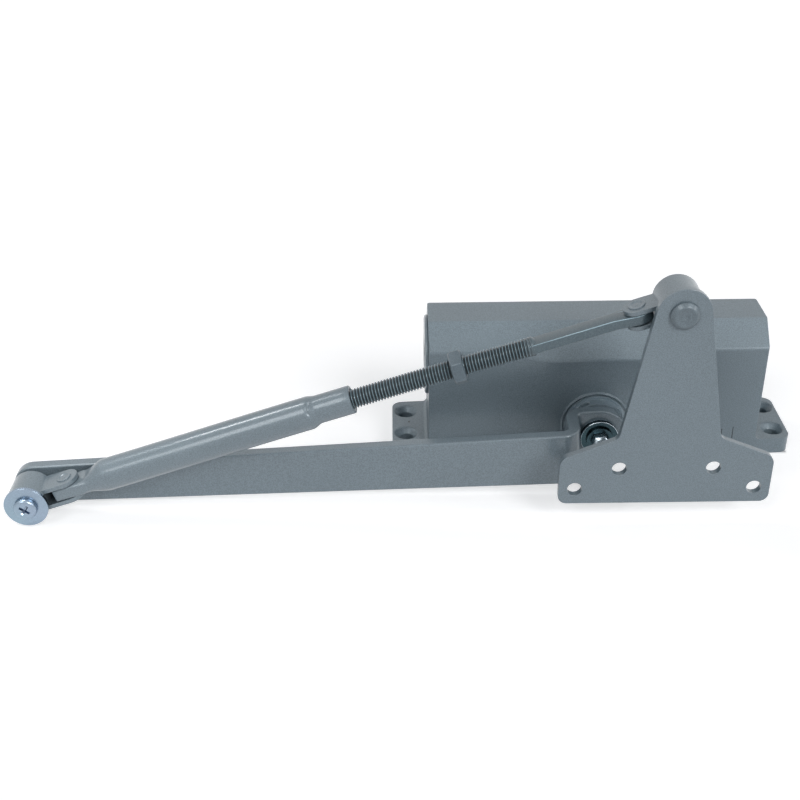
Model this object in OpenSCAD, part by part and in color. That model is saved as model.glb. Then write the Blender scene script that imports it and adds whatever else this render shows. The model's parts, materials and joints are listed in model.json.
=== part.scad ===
// Surface-mounted door closer with a parallel-arm linkage.
// The body lies on its mounting face, Z = 0. The spindle runs along Y, and the arms lie in front, at -Y.
// The origin is the centre of the body's screw pattern on the mounting face.

/* [Body] */
// Length of the body between its end faces, at the mounting face
body_l = 146.4; // [144:0.2:150]
// Width of the body away from its middle bulge
body_w = 38.4; // [38:0.2:41]
// Height of the body above the mounting face
body_h = 63.6; // [63:0.2:66]
// Width of the flat top between the two chamfers
top_w = 18.8; // [16:0.1:20]
// Height of the chamfers' lower edges, where they meet the sides
chamfer_z = 53.3; // [52:0.1:55]
// How far the middle bulges out on each side
bulge = 2.8; // [2:0.1:3.5]
// Half length of the full-width part of the bulge
bulge_flat = 17; // [15.5:0.5:20]
// Half length of the bulge with its ramps
bulge_reach = 47; // [42:0.5:52]
// Radius of the body's upright corners
corner_r = 0.8; // [0.4:0.1:3]

/* [Feet] */
// Thickness of the screw feet
foot_t = 7.5; // [6:0.25:9]
// Distance from the origin to the end of a foot
foot_end = 89.4; // [88:0.2:94]
// Width of a foot at its outer end
foot_end_w = 36.4; // [34:0.2:37]
// Radius of the hollow between a foot and the body's end
foot_fillet = 2; // [1:0.25:2.5]
// Distance between the screw holes along the body
screw_dx = 166; // [165:0.5:168]
// Distance between the screw holes across the body
screw_dy = 19; // [17:0.5:20]
// Diameter of a screw hole
screw_d = 6.2; // [5:0.1:6.6]
// Diameter of the countersink
sink_d = 11.1; // [10:0.1:11.6]

/* [Cylinder] */
// Radius of the cylinder that the piston runs in
bore_r = 16; // [15.6:0.1:16.2]
// Height of the cylinder's axis above the mounting face
bore_z = 42.8; // [42.4:0.1:43.2]
// Radius of the left plug's flange
plug_r = 17.6; // [17.2:0.1:18.4]
// How far the flange stands proud of the body
plug_proud = 1.5; // [1:0.1:2.5]
// Wire diameter of the closing spring
spring_wire = 4; // [3.5:0.1:4.2]
// Turns of the closing spring
spring_turns = 4; // [3:0.25:4.5]

/* [Rack and pinion] */
// Gear module
gear_module = 1.5; // [1.5:0.25:1.5]
// Number of teeth on the pinion
pinion_teeth = 14; // [13:1:14]
// Pressure angle in degrees
pressure_angle = 25; // [22:1:25]
// Face width of the pinion
pinion_w = 20; // [16:0.5:20]
// Gap between mating tooth flanks, along the pitch line
backlash = 0.16; // [0.1:0.02:0.3]

/* [Spindle] */
// Height of the spindle's axis above the mounting face
spindle_z = 19.5; // [19:0.1:20]
// Radius of the spindle's journals
journal_r = 7.5; // [7:0.1:8]
// Width across the flats of the spindle's square ends
square_w = 9; // [8:0.5:10]

/* [Main arm] */
// Place of the elbow's axis along the body, from the spindle
elbow_x = -240.4; // [-250:0.2:-200]
// Height of the elbow's axis above the mounting face
elbow_z = 10.05; // [9.8:0.05:16]
// Thickness of the arm's bar
arm_t = 5.2; // [4.5:0.1:6]
// Radius of the arm's end on the spindle
hub_r = 12.2; // [11.5:0.1:13]
// Radius of the arm's end at the elbow
arm_end_r = 8.9; // [8:0.1:9.2]
// Radius of the elbow's washer
elbow_washer_r = 9.1; // [8:0.1:9.4]

/* [Forearm] */
// Place of the bracket's pivot along the body
pivot_x = 21.2; // [10:0.2:40]
// Height of the bracket's pivot above the mounting face
pivot_z = 95.7; // [90:0.1:110]
// Outer radius of the forearm's tube
tube_r = 6.8; // [6.2:0.1:6.9]
// Radius of the tube's swaged neck
neck_r = 5.8; // [5.2:0.1:6]
// How far the neck and the rod lie above the tube's axis
neck_rise = 0.4; // [0:0.1:0.6]
// Distance from the elbow to the tube's mouth
tube_end = 142.8; // [136:0.2:150]
// Radius of the screwed rod
rod_r = 4; // [3.9:0.01:4]
// Distance from the elbow to the middle of the lock nut
nut_at = 187; // [176:0.5:196]
// Distance from the elbow to the end of the rod's thread
thread_end = 216.5; // [212:0.5:222]

/* [Bracket] */
// Thickness of the bracket's plate
plate_t = 3; // [2.5:0.1:3.5]
// Radius of the plate's ear round the pivot
ear_r = 10.6; // [10:0.1:12]
// Half width of the plate's foot
foot_half_w = 43.1; // [42:0.2:46]
// Distance between the upper pair of screw holes
upper_dx = 38; // [36:0.5:40]
// Distance between the lower pair of screw holes
lower_dx = 73; // [70:0.5:76]
// Drop from the pivot to the upper pair of holes
upper_drop = 68.8; // [66:0.1:70]
// Drop from the pivot to the lower pair of holes
lower_drop = 78.4; // [76:0.1:80]
// Drop from the pivot to the plate's bottom edge
plate_drop = 85.4; // [84:0.1:88]
// Radius of the bracket's screw holes
plate_hole_r = 3; // [2.5:0.1:3.3]

/* [Hidden] */
$fn = 64;

// Colours
paint = [0.52, 0.56, 0.60];
dark_paint = [0.42, 0.46, 0.50];
zinc = [0.74, 0.78, 0.82];
steel = [0.55, 0.56, 0.58];
bronze = [0.62, 0.50, 0.32];
rubber = [0.12, 0.12, 0.13];
plastic = [0.45, 0.48, 0.51];

// Body: derived values
half_l = body_l / 2;
half_w = body_w / 2;
bulge_w = half_w + bulge;
roof_slope = (body_h - chamfer_z) / (half_w - top_w / 2);
ramp_l = bulge_reach - bulge_flat;
ramp_r = (ramp_l * ramp_l / 4 + bulge * bulge / 4) / bulge;
big = 200;
rim_r = 15;
rim_proud = 0.8;
rim_y = bulge_w + rim_proud;

// Spindle: stations along Y, the same at the front and the rear
cavity_r = 13;
cavity_y = pinion_w / 2 + 0.6;
bearing_r = 11;
bearing_y = 17.2;
retainer_r = 14.2;
retainer_flange_r = 13.7;
retainer_face_y = rim_y + 0.4;
collar_r = 12.4;
collar_y = 27.6;
notch_r = 1.5;
notch_from = 31;
seal_y = 19.4;
seal_r = 10.4;
seal_back_y = 22.4;
run_gap = 0.05;
square_y = 33.4;

// Rack and pinion: derived values
pitch_r = gear_module * pinion_teeth / 2;
outer_r = pitch_r + gear_module;
tooth_root_r = pitch_r - 1.25 * gear_module;
base_r = pitch_r * cos(pressure_angle);
rack_z = spindle_z + pitch_r;
rack_tip_z = rack_z - gear_module;
rack_root_z = rack_z + 1.25 * gear_module;
circular_pitch = PI * gear_module;

// Piston, spring and plugs
piston_r = bore_r - 0.05;
piston_x0 = -62;
piston_x1 = 18;
rack_slot_x0 = -38;
rack_slot_x1 = 10.6;
first_space = -7;
last_space = 1;
piston_bore_r = 9;
seal_ring_w = 2.4;
seal_ring_depth = 1.6;
plug_inner_x = 64;
plug_face_x = half_l + plug_proud;
plug_inset = 0.5;
spring_r = 12.6;
spring_sides = 8;
spring_steps = 24;

// Speed valves, on the left end face
valve_y = 8;
valve_z = 15.5;
valve_r = 3;
valve_l = 20;

// Arms: stations along Y
hub_back_y = -28.4;
hub_front_y = hub_back_y - arm_t;
arm_front_y = -51.75;
arm_back_y = arm_front_y + arm_t;
jog_x = -9.6;
bend_r = 2.6;
arm_drop = atan2(spindle_z - elbow_z, -elbow_x);
arm_cc = sqrt(pow(elbow_x, 2) + pow(spindle_z - elbow_z, 2));
washer_t = 2.2;
lock_washer_t = 1.4;
bolt_head_t = 4.2;

// Elbow and forearm
turn_gap = 0.3;
forearm_y = -59.75;
forearm_angle = atan2(pivot_z - elbow_z, pivot_x - elbow_x);
forearm_l = sqrt(pow(pivot_z - elbow_z, 2) + pow(pivot_x - elbow_x, 2));
elbow_boss_r = 8.7;
elbow_shoulder_r = 6.4;
elbow_boss_front_y = -66.4;
elbow_washer_back_y = elbow_boss_front_y - turn_gap;
elbow_washer_t = 1.5;
stud_r = 4;
pin_gap = 0.07;
ear_w = 11.5;
ear_t = 1.85;
ear_gap = 5.7;
ear_reach = 17;
eye_drop = 0.85;
eye_t = 5.4;
eye_start = 11.8;
eye_corner_r = 1;
rivet_r = 2.5;
rivet_head_r = 3.1;
rivet_head_t = 0.5;
flat_start = 24;
round_start = 40;
swage_start = 124;
swage_end = 128.5;
rod_start = 95;
rod_flat_w = 6.6;
rod_flat_t = 3.6;
nut_t = 5;
nut_flats = 13;

// Bracket
pivot_boss_r = 9.1;
fork_w = 11;
fork_t = 1.8;
fork_gap = 4.8;
fork_reach = 15.6;
rod_eye_r = 5.4;
plate_back_y = -67.7;
plate_front_y = plate_back_y - plate_t;
boss_front_y = plate_back_y + turn_gap;
boss_back_y = -53.2;
pivot_pin_r = 4.5;
pivot_head_r = 5.85;
pivot_head_t = 2.4;

// Helpers

// Points of an arc about a centre, from angle a0 to angle a1.
function arc_points(cx, cy, r, a0, a1, steps) =
    [for (i = [0 : steps]) let (a = a0 + (a1 - a0) * i / steps) [cx + r * cos(a), cy + r * sin(a)]];

// Draws a flat outline given as [x, z], from y_back forward to y_front.
module along_y(y_back, y_front) {
    translate([0, y_back, 0]) rotate([90, 0, 0]) linear_extrude(y_back - y_front) children();
}

// A cylinder along Y.
module y_rod(x, z, r, y_back, y_front) {
    along_y(y_back, y_front) translate([x, z]) circle(r);
}

// A cylinder along X, through the point [y, z].
module x_rod(x0, x1, y, z, r) {
    translate([x0, y, z]) rotate([0, 90, 0]) cylinder(h = x1 - x0, r = r);
}

// The frame of the main arm: its axis runs along -X, down to the elbow.
module in_arm() {
    translate([0, 0, spindle_z]) rotate([0, -arm_drop, 0]) children();
}

// The frame of the forearm: X runs from the elbow to the bracket's pivot.
module in_forearm() {
    translate([elbow_x, forearm_y, elbow_z]) rotate([0, -forearm_angle, 0]) children();
}

// A bar with two round ends of their own radii, from [0, 0] to [l, 0].
module tapered_bar(l, r0, r1) {
    lean = asin((r0 - r1) / l);
    polygon(concat(
        arc_points(0, 0, r0, 90 - lean, 270 + lean, 28),
        arc_points(l, 0, r1, lean - 90, 90 - lean, 24)));
}

module rounded_square(x0, x1, y0, y1, r) {
    translate([x0 + r, y0]) square([x1 - x0 - 2 * r, y1 - y0]);
    translate([x0, y0 + r]) square([x1 - x0, y1 - y0 - 2 * r]);
    for (x = [x0 + r, x1 - r], y = [y0 + r, y1 - r]) translate([x, y]) circle(r);
}

// What lies between a square corner at the origin and an arc of radius r that rounds it.
// Added, it fills an inside corner; taken away, it rounds an outside one.
module corner_round(r) {
    difference() {
        translate([-1, -1]) square(r + 1);
        translate([r, r]) circle(r);
    }
}

// Body

// One side of the bulge in plan, with its S-shaped ramps.
module bulge_side() {
    mirrored = [0, 1];
    translate([-bulge_flat, 0]) square([2 * bulge_flat, bulge_w]);
    for (m = mirrored) mirror([m, 0]) {
        intersection() {
            translate([bulge_flat, 0]) square([ramp_l / 2, bulge_w]);
            translate([bulge_flat, bulge_w - ramp_r]) circle(ramp_r, $fn = 180);
        }
        difference() {
            translate([bulge_flat + ramp_l / 2, 0]) square([ramp_l / 2, half_w + bulge / 2]);
            translate([bulge_reach, half_w + ramp_r]) circle(ramp_r, $fn = 180);
        }
    }
}

module body_plan() {
    rounded_square(-half_l, half_l, -half_w, half_w, corner_r);
    bulge_side();
    mirror([0, 1]) bulge_side();
}

roof_edge = bulge_w + 1;

// Height of the chamfer's plane at a distance y from the body's middle.
function roof_z(y) = body_h - (y - top_w / 2) * roof_slope;

module body_block() {
    intersection() {
        linear_extrude(body_h) body_plan();
        // The roof: a flat top between two chamfers
        translate([-half_l - 1, 0, 0]) rotate([90, 0, 90]) linear_extrude(body_l + 2) polygon([
            [-roof_edge, -1], [roof_edge, -1],
            [roof_edge, roof_z(roof_edge)], [top_w / 2, body_h],
            [-top_w / 2, body_h], [-roof_edge, roof_z(roof_edge)]]);
    }
}

module foot_plan() {
    r = 4.8;
    root = half_w - 0.05;
    end_y = foot_end_w / 2;
    polygon(concat(
        [[half_l - 4, -root]],
        arc_points(foot_end - r, -end_y + r, r, -86, 0, 9),
        arc_points(foot_end - r, end_y - r, r, 0, 86, 9),
        [[half_l - 4, root]]));
}

// The foot on the +X side, with the hollow that leads up to the body's end.
module foot() {
    linear_extrude(foot_t) foot_plan();
    intersection() {
        along_y(half_w, -half_w) translate([half_l, foot_t]) corner_round(foot_fillet);
        linear_extrude(foot_t + foot_fillet + 1) foot_plan();
    }
}

module screw_hole(x, y) {
    translate([x, y, -1]) cylinder(h = foot_t + 2, r = screw_d / 2);
    translate([x, y, foot_t - (sink_d - screw_d) / 2])
        cylinder(h = (sink_d - screw_d) / 2, r1 = screw_d / 2, r2 = sink_d / 2);
    translate([x, y, foot_t]) cylinder(h = 2, r = sink_d / 2);
}

// The hollows of the body: cylinder, gear chamber, bearing seats and valve bores.
module body_hollows() {
    x_rod(-half_l - 1, half_l + 1, 0, bore_z, bore_r);
    y_rod(0, spindle_z, cavity_r, cavity_y, -cavity_y);
    y_rod(0, spindle_z, bearing_r, bearing_y, -bearing_y);
    y_rod(0, spindle_z, retainer_r, rim_y + 1, bearing_y);
    y_rod(0, spindle_z, retainer_r, -bearing_y, -rim_y - 1);
    for (y = [-valve_y, valve_y]) {
        x_rod(-half_l - 1, valve_l - half_l, y, valve_z, valve_r + 1);
        translate([valve_l - half_l - 4, y, valve_z]) cylinder(h = 16, r = 1.2);
    }
}

module housing() {
    color(paint) difference() {
        union() {
            body_block();
            for (m = [0, 1]) mirror([m, 0, 0]) foot();
            y_rod(0, spindle_z, rim_r, rim_y, -rim_y);
        }
        body_hollows();
        for (x = [-screw_dx / 2, screw_dx / 2], y = [-screw_dy / 2, screw_dy / 2]) screw_hole(x, y);
    }
}

// The hexagon socket of an end plug whose outer face is at +X.
module plug_socket(face_x) {
    translate([face_x - 6, 0, bore_z]) rotate([0, 90, 0]) cylinder(h = 8, r = 8, $fn = 6);
}

// The flanged plug, drawn at +X: threaded barrel, seal groove, flange and socket.
module flanged_plug() {
    difference() {
        union() {
            x_rod(plug_inner_x, half_l, 0, bore_z, bore_r);
            x_rod(half_l, plug_face_x - 0.6, 0, bore_z, plug_r);
            translate([plug_face_x - 0.6, 0, bore_z]) rotate([0, 90, 0])
                cylinder(h = 0.6, r1 = plug_r, r2 = plug_r - 0.6);
        }
        plug_socket(plug_face_x);
        plug_seal_ring();
    }
}

module plug_seal_ring() {
    translate([plug_inner_x + 1.6, 0, bore_z]) rotate([0, 90, 0]) difference() {
        cylinder(h = 2, r = bore_r);
        translate([0, 0, -1]) cylinder(h = 4, r = bore_r - seal_ring_depth);
    }
}

// The right plug lies just inside its bore.
module end_plug_right() {
    face_x = half_l - plug_inset;
    color(dark_paint) difference() {
        x_rod(plug_inner_x, face_x, 0, bore_z, bore_r);
        plug_socket(face_x);
        plug_seal_ring();
    }
}

module end_plug_left() {
    color(dark_paint) mirror([1, 0, 0]) flanged_plug();
}

module plug_seals() {
    color(rubber) for (m = [0, 1]) mirror([m, 0, 0]) plug_seal_ring();
}

// Screwed ring that holds a bearing in: barrel, flange and a collar with four spanner notches.
module bearing_retainer() {
    difference() {
        union() {
            y_rod(0, spindle_z, retainer_r, -bearing_y, -rim_y + 0.9);
            y_rod(0, spindle_z, retainer_flange_r, -rim_y + 0.9, -retainer_face_y);
            y_rod(0, spindle_z, collar_r, -retainer_face_y, -collar_y);
        }
        y_rod(0, spindle_z, journal_r + 0.3, -bearing_y + 1, -collar_y - 1);
        y_rod(0, spindle_z, seal_r, -seal_y, -seal_back_y);
        for (k = [0 : 3]) translate([0, 0, spindle_z]) rotate([0, -notch_from - 90 * k, 0])
            translate([0, -collar_y + 1.9, 0]) rotate([90, 0, 90])
            translate([0, 0, collar_r - 2.4]) linear_extrude(5) spanner_notch();
    }
}

// The rounded slot that a spanner's hook enters, drawn across the collar's side.
module spanner_notch() {
    for (s = [-1, 1]) translate([0, s * 1.9]) circle(notch_r - 0.3);
    translate([-notch_r + 0.3, -1.9]) square([2 * notch_r - 0.6, 3.8]);
}

module bearing_retainer_front() {
    color(paint) bearing_retainer();
}

module bearing_retainer_rear() {
    color(paint) mirror([0, 1, 0]) bearing_retainer();
}

module pinion_bearing() {
    difference() {
        y_rod(0, spindle_z, bearing_r, -cavity_y - 0.2, -bearing_y);
        y_rod(0, spindle_z, journal_r + run_gap, 0, -big);
    }
}

module pinion_bearing_front() {
    color(bronze) pinion_bearing();
}

module pinion_bearing_rear() {
    color(bronze) mirror([0, 1, 0]) pinion_bearing();
}

module shaft_seals() {
    color(rubber) for (m = [0, 1]) mirror([0, m, 0]) difference() {
        y_rod(0, spindle_z, seal_r, -seal_y, -seal_back_y);
        y_rod(0, spindle_z, journal_r + run_gap, 0, -big);
    }
}

// Plastic cap over the spindle's unused rear end.
module spindle_cap() {
    color(plastic) difference() {
        union() {
            y_rod(0, spindle_z, collar_r + 1.6, collar_y + 7.4, retainer_face_y);
            translate([0, collar_y + 7.4, spindle_z]) rotate([-90, 0, 0])
                cylinder(h = 1.4, r1 = collar_r + 1.6, r2 = collar_r);
        }
        y_rod(0, spindle_z, collar_r, collar_y, retainer_face_y - 1);
        y_rod(0, spindle_z, collar_r - 1.4, collar_y + 7, collar_y - 1);
    }
}

// Bushes pressed into the valve bores, with the screws' threads inside.
module valve_bushes() {
    color(bronze) for (y = [-valve_y, valve_y]) difference() {
        x_rod(-half_l + 0.5, -half_l + 9, y, valve_z, valve_r + 1);
        x_rod(-half_l - 1, -half_l + 10, y, valve_z, valve_r + run_gap);
    }
}

// Speed valve: a screw with a slot outside and a metering cone inside.
module speed_valve(y) {
    difference() {
        union() {
            x_rod(0.4 - half_l, valve_l - half_l - 6, y, valve_z, valve_r);
            translate([valve_l - half_l - 6, y, valve_z]) rotate([0, 90, 0])
                cylinder(h = 5, r1 = valve_r, r2 = 1);
        }
        translate([-half_l - 1, y - 0.5, valve_z - 4]) cube([3, 1, 8]);
    }
}

module sweep_valve() {
    color(zinc) speed_valve(-valve_y);
}

module latch_valve() {
    color(zinc) speed_valve(valve_y);
}

// Pinion

// Angle that an involute has turned from its base circle when it reaches radius r, in degrees.
function involute_turn(r) = let (a = acos(base_r / r)) tan(a) * 180 / PI - a;

// Half the angle of a tooth at radius r, in degrees.
function tooth_half(r) =
    90 / pinion_teeth * (1 - backlash / circular_pitch) + involute_turn(pitch_r) - involute_turn(r);

flank_steps = 6;
flank_r0 = max(base_r, tooth_root_r) + 0.001;

// One tooth, centred on angle a: up one flank, over the tip and down the other.
function tooth_points(a) = concat(
    [for (i = [0 : flank_steps]) let (r = flank_r0 + (outer_r - flank_r0) * i / flank_steps)
        r * [cos(a + tooth_half(r)), sin(a + tooth_half(r))]],
    [for (i = [flank_steps : -1 : 0]) let (r = flank_r0 + (outer_r - flank_r0) * i / flank_steps)
        r * [cos(a - tooth_half(r)), sin(a - tooth_half(r))]]);

module pinion_teeth_plan() {
    circle(tooth_root_r);
    for (k = [0 : pinion_teeth - 1]) {
        a = 90 + 360 / pinion_teeth * k;
        polygon(concat([[0, 0]], [
            (tooth_root_r - 0.05) * [cos(a - tooth_half(flank_r0)), sin(a - tooth_half(flank_r0))]],
            [for (i = [len(tooth_points(a)) - 1 : -1 : 0]) tooth_points(a)[i]], [
            (tooth_root_r - 0.05) * [cos(a + tooth_half(flank_r0)), sin(a + tooth_half(flank_r0))]]));
    }
}

module pinion_shaft() {
    color(steel) {
        along_y(pinion_w / 2, -pinion_w / 2) translate([0, spindle_z]) pinion_teeth_plan();
        difference() {
            y_rod(0, spindle_z, journal_r, collar_y + 0.4, hub_back_y);
            y_rod(0, spindle_z, 2.5, big, collar_y - 14);
            y_rod(0, spindle_z, 3, -collar_y + 0.1, -square_y - 1);
        }
        difference() {
            along_y(hub_back_y + 1, -square_y) translate([0, spindle_z]) square(square_w, center = true);
            y_rod(0, spindle_z, 3, -collar_y + 0.1, -square_y - 1);
        }
        along_y(collar_y + 5.4, collar_y) translate([0, spindle_z]) difference() {
            square(square_w, center = true);
            circle(2.5);
        }
    }
}

// Main arm

// The joggled strip in plan: hub, cross leg and bar, with round bends, as [x, y].
module arm_plan(l) {
    outer = bend_r + arm_t;
    leg_x0 = jog_x - arm_t;
    difference() {
        union() {
            translate([leg_x0, hub_front_y]) square([hub_r + 2 - leg_x0, arm_t]);
            translate([leg_x0, arm_front_y]) square([arm_t, hub_back_y - arm_front_y]);
            translate([-l - 20, arm_front_y]) square([l + 20 + jog_x, arm_t]);
            translate([jog_x, hub_front_y]) mirror([0, 1]) corner_round(bend_r);
            translate([leg_x0, arm_back_y]) mirror([1, 0]) corner_round(bend_r);
        }
        translate([leg_x0, hub_back_y]) mirror([0, 1]) corner_round(outer);
        translate([jog_x, arm_front_y]) mirror([1, 0]) corner_round(outer);
    }
}

module main_arm() {
    color(paint) in_arm() difference() {
        intersection() {
            translate([0, 0, -hub_r]) linear_extrude(2 * hub_r) arm_plan(arm_cc);
            along_y(0, -big) mirror([1, 0]) tapered_bar(arm_cc, hub_r, arm_end_r);
        }
        rotate([0, arm_drop, 0]) along_y(0, hub_front_y - 1) square(square_w + 0.1, center = true);
        y_rod(-arm_cc, 0, stud_r, 0, -big);
    }
}

module arm_washer() {
    color(zinc) difference() {
        y_rod(0, spindle_z, 8.2, hub_front_y, hub_front_y - washer_t);
        y_rod(0, spindle_z, 3.2, 0, -big);
    }
}

// Split spring washer.
module arm_lock_washer() {
    y0 = hub_front_y - washer_t;
    color(zinc) difference() {
        y_rod(0, spindle_z, 5.8, y0, y0 - lock_washer_t);
        y_rod(0, spindle_z, 3.2, 0, -big);
        translate([3, y0 - 3, spindle_z - 0.5]) rotate([0, 35, 0]) cube([4, 6, 0.9]);
    }
}

module arm_bolt() {
    y0 = hub_front_y - washer_t - lock_washer_t;
    color(zinc) {
        translate([0, y0, spindle_z]) rotate([90, 0, 0]) rotate(12) intersection() {
            cylinder(h = bolt_head_t, r = 10 / sqrt(3), $fn = 6);
            cylinder(h = bolt_head_t, r1 = 5.77 + bolt_head_t + 0.4, r2 = 5.1);
        }
        y_rod(0, spindle_z, 3, -collar_y - 0.4, y0);
    }
}

// Stud at the elbow, riveted into the arm's end, tapped for the screw.
module elbow_stud() {
    color(zinc) difference() {
        union() {
            y_rod(elbow_x, elbow_z, stud_r, arm_back_y, elbow_washer_back_y);
            translate([elbow_x, arm_back_y, elbow_z]) rotate([-90, 0, 0])
                cylinder(h = 1.2, r1 = 6, r2 = 4.4);
        }
        y_rod(elbow_x, elbow_z, 2, -58, -big);
    }
}

module elbow_washer() {
    color(zinc) difference() {
        y_rod(elbow_x, elbow_z, elbow_washer_r, elbow_washer_back_y, elbow_washer_back_y - elbow_washer_t);
        y_rod(elbow_x, elbow_z, 2.2, 0, -big);
    }
}

// Pan-head screw with a cross recess.
module elbow_screw() {
    y0 = elbow_washer_back_y - elbow_washer_t;
    color(zinc) {
        y_rod(elbow_x, elbow_z, 2, -58, y0);
        difference() {
            union() {
                y_rod(elbow_x, elbow_z, 4.8, y0, y0 - 1.2);
                translate([elbow_x, y0 - 1.2, elbow_z]) rotate([90, 0, 0])
                    cylinder(h = 1.2, r1 = 4.8, r2 = 3.6);
            }
            for (a = [35, 125]) translate([elbow_x, y0 - 2.4, elbow_z]) rotate([0, a, 0])
                cube([4.4, 3, 0.9], center = true);
        }
    }
}

// Piston

// One space of the rack, open downwards, centred on x.
module rack_space(x) {
    side = tan(pressure_angle);
    tip_half = circular_pitch / 4 + (rack_z - rack_tip_z) * side + backlash / 4;
    root_half = circular_pitch / 4 - (rack_root_z - rack_z) * side + backlash / 4;
    grow = side * 1;
    along_y(big, -big) polygon([
        [x - tip_half - grow, rack_tip_z - 1], [x + tip_half + grow, rack_tip_z - 1],
        [x + root_half, rack_root_z], [x - root_half, rack_root_z]]);
}

module piston_seal_ring(x) {
    translate([x, 0, bore_z]) rotate([0, 90, 0]) difference() {
        cylinder(h = seal_ring_w, r = bore_r - 0.03);
        translate([0, 0, -1]) cylinder(h = seal_ring_w + 2, r = bore_r - seal_ring_depth);
    }
}

module rack_piston() {
    color(steel) difference() {
        x_rod(piston_x0, piston_x1, 0, bore_z, piston_r);
        translate([rack_slot_x0, -bore_r, bore_z - bore_r - 1])
            cube([rack_slot_x1 - rack_slot_x0, 2 * bore_r, rack_tip_z - bore_z + bore_r + 1]);
        for (k = [first_space : last_space]) rack_space(k * circular_pitch);
        x_rod(-44, piston_x1 + 1, 0, bore_z, piston_bore_r);
        x_rod(-50, -40, 0, bore_z, 2);
        x_rod(piston_x0 - 1, -50, 0, bore_z, 4);
        for (x = [piston_x0 + 3, piston_x0 + 9, piston_x1 - 5]) piston_seal_ring(x);
    }
}

module piston_seals() {
    color(rubber) for (x = [piston_x0 + 3, piston_x0 + 9, piston_x1 - 5]) piston_seal_ring(x);
}

// Check valve: a cage with its ball, which lets oil past while the door opens.
module check_valve() {
    color(bronze) difference() {
        x_rod(piston_x0, -50, 0, bore_z, 4);
        x_rod(piston_x0 - 1, -58, 0, bore_z, 1.5);
        x_rod(-55, -49, 0, bore_z, 2.6);
    }
    color(steel) translate([-56.5, 0, bore_z]) sphere(2.2);
}

// Closing spring: one helix between the piston and the right plug, cut flat at both ends.
spring_x0 = piston_x1 + spring_wire / 2;
spring_x1 = plug_inner_x - spring_wire / 2;
spring_rings = spring_turns * spring_steps;

// Share of the whole rise at turn t: the first and last half turn lie nearly flat.
function spring_rise(t) = t < 0.5 ? 0.12 * t / 0.5
    : t > spring_turns - 0.5 ? 1 - 0.12 * (spring_turns - t) / 0.5
    : 0.12 + 0.76 * (t - 0.5) / (spring_turns - 1);

function spring_centre(i) = let (t = i / spring_steps)
    [spring_x0 + (spring_x1 - spring_x0) * spring_rise(t), spring_r * cos(360 * t), spring_r * sin(360 * t)];

function spring_ring(i) = let (c = spring_centre(i), turn = 360 * i / spring_steps)
    [for (k = [0 : spring_sides - 1]) let (a = 360 * k / spring_sides)
        c + spring_wire / 2 * [cos(a), sin(a) * cos(turn), sin(a) * sin(turn)]];

module return_spring() {
    n = spring_sides;
    points = [for (i = [0 : spring_rings]) each spring_ring(i)];
    sides = [for (i = [0 : spring_rings - 1], k = [0 : n - 1]) each [
        [i * n + k, i * n + (k + 1) % n, (i + 1) * n + k],
        [i * n + (k + 1) % n, (i + 1) * n + (k + 1) % n, (i + 1) * n + k]]];
    caps = [[for (k = [n - 1 : -1 : 0]) k], [for (k = [0 : n - 1]) spring_rings * n + k]];
    color(steel) translate([0, 0, bore_z]) polyhedron(points, concat(sides, caps));
}

// Knuckles, drawn in the forearm's frame

// Two flat ears that reach from x = 0 to the rivet at x = reach, with rounded ends.
module clevis_ears(reach, w, t, gap) {
    for (m = [0, 1]) mirror([0, 0, m]) translate([0, 0, gap / 2]) linear_extrude(t) {
        translate([0, -w / 2]) square([reach, w]);
        translate([reach, 0]) circle(w / 2);
    }
}

module elbow_knuckle() {
    back = arm_front_y - turn_gap - forearm_y;
    front = elbow_boss_front_y - forearm_y;
    color(paint) in_forearm() difference() {
        union() {
            y_rod(0, 0, elbow_shoulder_r, back, 0);
            y_rod(0, 0, elbow_boss_r, ear_w / 2, front);
            translate([0, 0, -eye_drop]) clevis_ears(ear_reach, ear_w, ear_t, ear_gap);
        }
        y_rod(0, 0, stud_r + pin_gap, big, -big);
        translate([ear_reach, 0, -big / 2]) cylinder(h = big, r = rivet_r);
    }
}

module bracket_knuckle() {
    back = boss_back_y - forearm_y;
    front = boss_front_y - forearm_y;
    color(paint) in_forearm() difference() {
        union() {
            y_rod(forearm_l, 0, pivot_boss_r, back, front);
            translate([forearm_l, 0, 0]) mirror([1, 0, 0]) clevis_ears(fork_reach, fork_w, fork_t, fork_gap);
        }
        y_rod(forearm_l, 0, pivot_pin_r + pin_gap, big, -big);
        translate([forearm_l - fork_reach, 0, -big / 2]) cylinder(h = big, r = rivet_r);
    }
}

// A rivet through a pair of ears whose outer faces lie at half above and below it,
// with a dimpled head on each side.
module ear_rivet(half) {
    difference() {
        union() {
            translate([0, 0, -half]) cylinder(h = 2 * half, r = rivet_r);
            for (m = [0, 1]) mirror([0, 0, m]) translate([0, 0, half])
                cylinder(h = rivet_head_t, r1 = rivet_head_r, r2 = rivet_head_r - 0.3);
        }
        for (m = [0, 1]) mirror([0, 0, m]) translate([0, 0, half + rivet_head_t - 0.4])
            cylinder(h = 1, r1 = 1.2, r2 = 2);
    }
}

module elbow_rivet() {
    color(paint) in_forearm() translate([ear_reach, 0, -eye_drop]) ear_rivet(ear_gap / 2 + ear_t);
}

module rod_rivet() {
    color(paint) in_forearm() translate([forearm_l - fork_reach, 0, 0]) ear_rivet(fork_gap / 2 + fork_t);
}

// Forearm

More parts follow.
